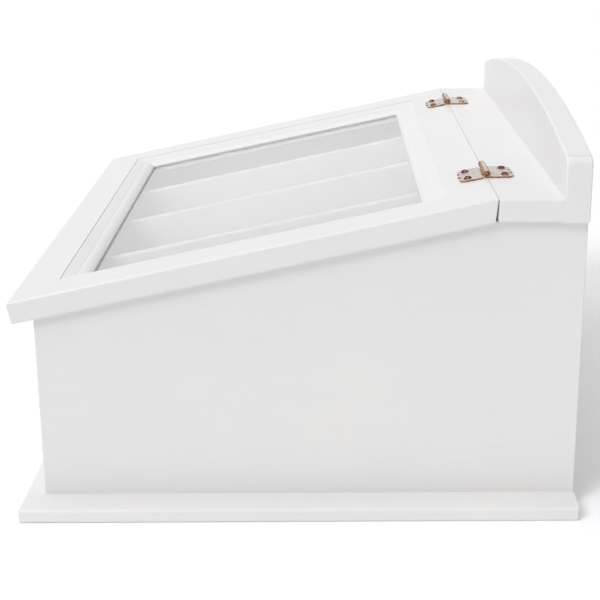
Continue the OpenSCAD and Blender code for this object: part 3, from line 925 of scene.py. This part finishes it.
def pan_screw(shank_r, head_r, reach):
    """Pan-head machine screw with a rounded rim."""
    thick = 2.0 * MM
    rim = 0.9 * MM
    taper = 0.4 * MM
    tip_r = 0.8 * shank_r
    cap = arc((head_r - rim, -rim), rim, 0, 90, steps=5)
    return [(0, -reach), (tip_r, -reach), (shank_r, -reach + taper),
            (shank_r, -thick), (head_r, -thick)] + cap + [(0, 0)]


def flush_screw(shank_r, head_r, reach):
    """Countersunk wood screw with a flat head."""
    thick = 2.4 * MM
    taper = 4.0 * MM
    tip_r = 0.3 * shank_r
    rim = 0.15 * MM
    return [(0, -reach), (tip_r, -reach), (shank_r, -reach + taper),
            (shank_r, -thick), (head_r, -rim), (head_r - rim, 0), (0, 0)]


class CHEST_OT_hinge_screws(ChestOperator, bpy.types.Operator):
    """Builds the domed hinge screws with their cross recess"""

    bl_idname = "chest.hinge_screws"
    bl_label = "Hinge screws"

    def execute(self, context):
        slope = lid_slope()
        directions = {
            "lid_hinge_screws": Vector((0, -math.sin(slope), math.cos(slope))),
            "shelf_hinge_screws": UP,
        }
        for node, outwards in directions.items():
            screws_piece(node, outwards, domed_screw, self.shape.recess_width,
                         "patinated_bronze", "domed")
        return {"FINISHED"}


class CHEST_OT_drawers(ChestOperator, bpy.types.Operator):
    """Builds both drawers' boards"""

    bl_idname = "chest.drawers"
    bl_label = "Drawers"

    def execute(self, context):
        boards = {"outer_side": "y", "inner_side": "y", "back": "x", "bottom": "x"}
        for side in SIDES:
            eased_piece(f"{side}_drawer_front", self.shape.panel_ease, "paint_x")
            for board, grain in boards.items():
                eased_piece(f"{side}_drawer_{board}", self.shape.trim_ease,
                            f"paint_{grain}")
        return {"FINISHED"}


class CHEST_OT_knobs(ChestOperator, bpy.types.Operator):
    """Builds the turned drawer knobs"""

    bl_idname = "chest.knobs"
    bl_label = "Knobs"

    def execute(self, context):
        for side in SIDES:
            node = f"{side}_drawer_knob"
            low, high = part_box(node)
            radius = (high.x - low.x) / 2
            length = high.y - low.y
            bm = bmesh.new()
            middle = Vector(((low.x + high.x) / 2, high.y, (low.z + high.z) / 2))
            place = Matrix.Translation(middle) @ Matrix.Rotation(math.pi / 2, 4, "X")
            spin(bm, self.profile(radius, length), KNOB_SIDES, place)
            add_piece(f"{node}_turned", bm, "rubbed_bronze", [node])
        return {"FINISHED"}

    def profile(self, radius, length):
        """Foot flange, hollow neck, and a cap with a rounded rim and a ring on its face."""
        foot = 0.69 * radius
        neck = 0.46 * radius
        rim = 0.30 * radius
        foot_h = 0.12 * length
        foot_ease = 0.4 * MM
        rim_h = length - rim
        cove = (rim_h - rim * 0.4 - foot_h) / 2
        middle = foot_h + cove
        slimness = 1.3
        points = [(0, 0), (foot, 0)]
        points += arc((foot - foot_ease, foot_h - foot_ease), foot_ease, 0, 90, steps=3)
        steps = 14
        for k in range(steps + 1):
            a = math.pi * k / steps
            outer = foot - 2 * foot_ease if a < math.pi / 2 else radius
            swell = (1 - math.sin(a)) ** slimness
            points.append((neck + (outer - neck) * swell, middle - cove * math.cos(a)))
        points += arc((radius - rim, rim_h), rim, 0, 90, steps=8)
        lip = length - 0.05 * MM
        groove = length - 0.35 * MM
        points += [(0.62 * radius, lip), (0.58 * radius, groove), (0.54 * radius, lip),
                   (0.3 * radius, length), (0, length)]
        return points


class CHEST_OT_fasteners(ChestOperator, bpy.types.Operator):
    """Finishes the dowels and builds the steel screws"""

    bl_idname = "chest.fasteners"
    bl_label = "Dowels and screws"

    def execute(self, context):
        for node in ("shelf_dowels", "crest_dowels"):
            give_finish(node, "bare_beech")
        back = Vector((0, 1, 0))
        width = self.shape.steel_recess_width
        screws_piece("base_screws", -UP, flush_screw, width, "zinc_steel",
                     "threaded")
        for side in SIDES:
            screws_piece(f"{side}_drawer_knob_screw", back, pan_screw, width, "zinc_steel",
                         "pan_head")
        return {"FINISHED"}


class CHEST_OT_stage(ChestOperator, bpy.types.Operator):
    """Makes the floor, the soft light and the camera"""

    bl_idname = "chest.stage"
    bl_label = "Studio"

    def execute(self, context):
        stage = context.scene.chest_stage
        self.make_floor(stage)
        self.make_light(stage)
        self.make_camera(stage)
        context.scene.view_settings.view_transform = "Standard"
        return {"FINISHED"}

    def make_floor(self, stage):
        """A large flat floor that the chest stands on."""
        half = 6.0
        mesh = bpy.data.meshes.new("studio_floor")
        corners = [(-half, -half, 0), (half, -half, 0), (half, half, 0), (-half, half, 0)]
        mesh.from_pydata(corners, [], [(0, 1, 2, 3)])
        mesh.materials.append(studio_floor(stage))
        floor = bpy.data.objects.new("studio_floor", mesh)
        floor.location.z = CAD_BOX[0].z
        bpy.context.collection.objects.link(floor)

    def make_light(self, stage):
        """White studio walls, a soft lamp on the front right and a wide one overhead."""
        world = bpy.data.worlds.new("studio_walls")
        world.use_nodes = True
        tree = world.node_tree
        walls = tree.nodes["Background"]
        walls.inputs["Color"].default_value = WHITE
        # The walls are brightest seen straight or mirrored, and weakest as light on the paint.
        path = tree.nodes.new("ShaderNodeLightPath")
        scattered = tree.nodes.new("ShaderNodeMath")
        tree.links.new(path.outputs["Is Diffuse Ray"], scattered.inputs[0])
        tree.links.new(path.outputs["Diffuse Depth"], scattered.inputs[1])
        brightness = tree.nodes.new("ShaderNodeMapRange")
        brightness.inputs["To Min"].default_value = stage.backdrop
        brightness.inputs["To Max"].default_value = stage.fill
        brightness.inputs["From Max"].default_value = 2
        tree.links.new(scattered.outputs["Value"], brightness.inputs["Value"])
        tree.links.new(brightness.outputs["Result"], walls.inputs["Strength"])
        world.cycles.sampling_method = "NONE"
        bpy.context.scene.world = world
        lamps = {
            "key": (stage.key, stage.key_from, stage.key_spread),
            "overhead": (stage.overhead, stage.overhead_from, stage.overhead_spread),
        }
        for name, (strength, place, spread) in lamps.items():
            data = bpy.data.lights.new(name, "SUN")
            data.energy = strength
            data.angle = spread
            lamp = bpy.data.objects.new(name, data)
            lamp.location = place
            aim = -Vector(place)
            lamp.rotation_euler = aim.to_track_quat("-Z", "Y").to_euler()
            bpy.context.collection.objects.link(lamp)

    def make_camera(self, stage):
        """Camera square on to the right-hand side, looking slightly down."""
        data = bpy.data.cameras.new("camera")
        data.lens = stage.camera_lens
        data.sensor_width = 36
        data.shift_x, data.shift_y = stage.camera_shift
        data.clip_start = 10 * MM
        camera = bpy.data.objects.new("camera", data)
        camera.location = stage.camera_at
        camera.rotation_euler = (
            math.pi / 2 - stage.camera_pitch, 0, math.pi / 2 - stage.camera_turn
        )
        bpy.context.collection.objects.link(camera)
        bpy.context.scene.camera = camera


class CHEST_PT_panel(bpy.types.Panel):
    """Sidebar panel that lists the pieces and their settings"""

    bl_idname = "CHEST_PT_panel"
    bl_label = "Jewellery Chest"
    bl_space_type = "VIEW_3D"
    bl_region_type = "UI"
    bl_category = "Jewellery Chest"

    def draw(self, context):
        scene = context.scene
        for settings in (scene.chest_finish, scene.chest_shape, scene.chest_stage):
            box = self.layout.box()
            for name in type(settings).__annotations__:
                box.prop(settings, name)
        for operator in OPERATORS:
            self.layout.operator(operator.bl_idname)


OPERATORS = (
    CHEST_OT_base,
    CHEST_OT_case,
    CHEST_OT_shelf_and_crest,
    CHEST_OT_lid_frame,
    CHEST_OT_glass,
    CHEST_OT_hinges,
    CHEST_OT_hinge_screws,
    CHEST_OT_drawers,
    CHEST_OT_knobs,
    CHEST_OT_fasteners,
    CHEST_OT_stage,
)
SETTINGS = {"chest_finish": ChestFinish, "chest_shape": ChestShape, "chest_stage": ChestStage}


def register():
    """Registers the settings, operators and panel."""
    for group in SETTINGS.values():
        bpy.utils.register_class(group)
    for name, group in SETTINGS.items():
        setattr(bpy.types.Scene, name, bpy.props.PointerProperty(type=group))
    for operator in OPERATORS:
        bpy.utils.register_class(operator)
    bpy.utils.register_class(CHEST_PT_panel)


def unregister():
    """Removes what register() added."""
    bpy.utils.unregister_class(CHEST_PT_panel)
    for operator in reversed(OPERATORS):
        bpy.utils.unregister_class(operator)
    for name in SETTINGS:
        delattr(bpy.types.Scene, name)
    for group in SETTINGS.values():
        bpy.utils.unregister_class(group)


def main():
    register()
    for operator in OPERATORS:
        group, name = operator.bl_idname.split(".")
        getattr(getattr(bpy.ops, group), name)()


if __name__ == "__main__":
    main()
